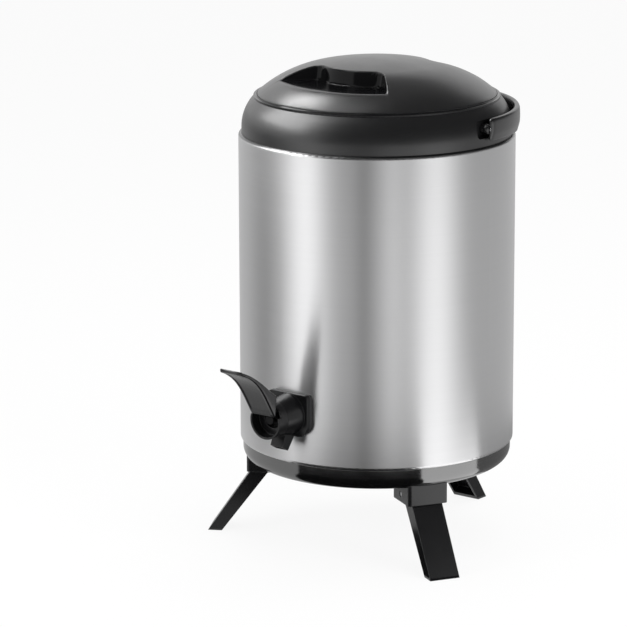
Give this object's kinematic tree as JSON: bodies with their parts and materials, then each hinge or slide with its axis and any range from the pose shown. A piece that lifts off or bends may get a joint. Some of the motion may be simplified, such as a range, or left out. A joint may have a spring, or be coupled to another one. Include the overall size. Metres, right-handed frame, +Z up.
{
  "type": "insulated beverage dispenser",
  "caption": "Insulated steel drum for drinks on folding splayed legs, with a black collar and base, a lift-off grip lid, a carrying bail and a lever tap.",
  "frame": {"origin": "On the drum's axis at floor level, where the three feet stand", "axes": "+Z up along the drum's axis, -Y to the front where the tap is, +X to the right seen from the back, so the bail pivots on the X axis"},
  "size_m": [0.3012, 0.3905, 0.4701],
  "materials": {
    "steel_shell": "satin",
    "steel_vessel": "polished",
    "foam": "matte",
    "collar_black": "satin",
    "lid_black": "satin",
    "plug_black": "satin",
    "base_black": "gloss",
    "leg_black": "gloss",
    "bail_black": "satin",
    "tap_black": "gloss",
    "pin_steel": "polished",
    "silicone": "satin",
    "gasket_black": "satin",
    "stem_plastic": "satin"
  },
  "bodies": {
    "drum": {"outer_shell": "steel_shell", "inner_vessel": "steel_vessel", "foam_insulation": "foam", "collar": "collar_black", "vessel_gasket": "silicone", "base_cover": "base_black", "leg_bracket_right": "leg_black", "leg_bracket_left": "leg_black", "leg_bracket_rear": "leg_black", "bracket_screws": "pin_steel", "leg_pin_right": "pin_steel", "leg_pin_left": "pin_steel", "leg_pin_rear": "pin_steel", "bail_pin_right": "pin_steel", "bail_pin_left": "pin_steel", "tap_body": "tap_black", "tap_flange_gasket": "gasket_black", "tap_inner_gasket": "silicone", "tap_nut": "plug_black", "tap_bonnet": "tap_black", "gland_ring": "gasket_black", "lever_pin": "pin_steel"},
    "seal": {"lid_seal": "silicone"},
    "lid": {"lid_cover": "lid_black", "lid_plug": "plug_black", "lid_foam": "foam"},
    "bail": {"carry_bail": "bail_black"},
    "right_leg": {"leg_right": "leg_black"},
    "left_leg": {"leg_left": "leg_black"},
    "rear_leg": {"leg_rear": "leg_black"},
    "lever": {"tap_lever": "tap_black"},
    "stem": {"valve_stem": "stem_plastic", "valve_seal": "silicone"}
  },
  "joints": [
    {"name": "lid_lift", "type": "slide", "parent": "drum", "child": "seal", "axis": [0, 0, 1], "range_m": [0, 0.07]},
    {"name": "lid_turn", "type": "hinge", "parent": "seal", "child": "lid", "pos_m": [0, 0, 0.431], "axis": [0, 0, 1], "range_deg": [0, 60]},
    {"name": "bail_swing", "type": "hinge", "parent": "drum", "child": "bail", "pos_m": [0, 0, 0.4162], "axis": [1, 0, 0], "range_deg": [0, 180]},
    {"name": "leg_right_fold", "type": "hinge", "parent": "drum", "child": "right_leg", "pos_m": [0.0918, -0.053, 0.0698], "axis": [0.5, 0.866, 0], "range_deg": [0, 124.5]},
    {"name": "leg_left_fold", "type": "hinge", "parent": "drum", "child": "left_leg", "pos_m": [-0.0918, -0.053, 0.0698], "axis": [0.5, -0.866, 0], "range_deg": [0, 124.5]},
    {"name": "leg_rear_fold", "type": "hinge", "parent": "drum", "child": "rear_leg", "pos_m": [0, 0.106, 0.0698], "axis": [-1, 0, 0], "range_deg": [0, 124.5]},
    {"name": "tap_lever_turn", "type": "hinge", "parent": "drum", "child": "lever", "pos_m": [0, -0.17, 0.162], "axis": [-1, 0, 0], "range_deg": [0, 35]},
    {"name": "valve_slide", "type": "slide", "parent": "drum", "child": "stem", "axis": [0, -1, 0], "range_m": [0, 0.0069]}
  ],
  "couplings": [
    {"joint": "valve_slide", "follows": "tap_lever_turn", "m_per_rad": 0.011267}
  ]
}
